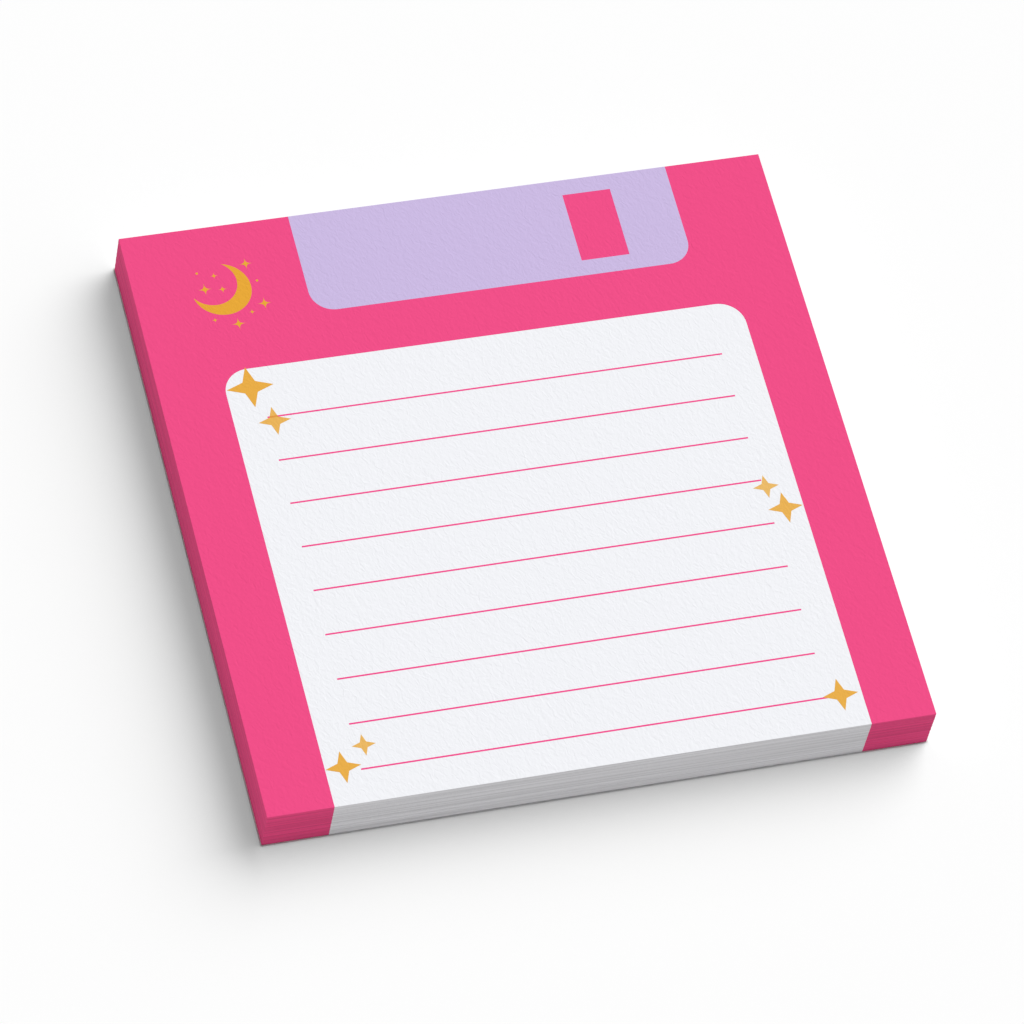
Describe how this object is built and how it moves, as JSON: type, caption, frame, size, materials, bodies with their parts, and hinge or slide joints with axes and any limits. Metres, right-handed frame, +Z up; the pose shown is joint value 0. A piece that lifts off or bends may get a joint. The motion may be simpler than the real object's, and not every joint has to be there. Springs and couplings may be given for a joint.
{
  "type": "sticky note pad",
  "caption": "Square pad of sticky notes, pink with a lavender field, a ruled white label for writing and a gold crescent and stars.",
  "frame": {"origin": "middle of the underside, where the pad rests", "axes": "+Z up out of the face that is written on, +Y to the back edge, where the sheets are stuck together, +X to the writer's right"},
  "size_m": [0.0762, 0.0762, 0.0062],
  "materials": {
    "white_paper": "matte",
    "pink_inked_paper": "matte",
    "lavender_inked_paper": "matte",
    "line_ink": "matte",
    "gold_inked_paper": "matte"
  },
  "bodies": {
    "root": {"note_sheets": "white_paper", "pink_print": "pink_inked_paper", "lavender_print": "lavender_inked_paper", "ruled_lines": "line_ink", "moon_and_stars": "gold_inked_paper"}
  },
  "joints": []
}
